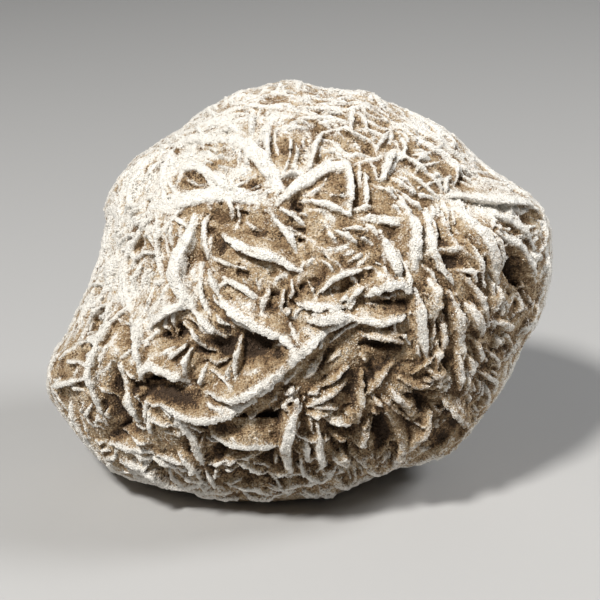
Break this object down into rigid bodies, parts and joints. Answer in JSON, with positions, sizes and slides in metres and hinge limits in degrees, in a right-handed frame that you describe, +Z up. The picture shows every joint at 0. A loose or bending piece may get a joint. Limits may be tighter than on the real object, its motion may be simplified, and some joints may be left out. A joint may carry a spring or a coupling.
{
  "type": "gypsum sand rose",
  "caption": "Rounded, sand-packed cluster of gypsum blades with worn pale edges standing out in crests, cut flat underneath where it rests",
  "frame": {"origin": "middle of the stone's footprint box, on the surface that it rests on", "axes": "+X along the longest extent, to the right as seen from the front, +Y from the front to the back, +Z up"},
  "size_m": [0.0774, 0.0632, 0.061],
  "materials": {
    "gypsum": "matte"
  },
  "bodies": {
    "root": {"sand_rose": "gypsum"}
  },
  "joints": []
}
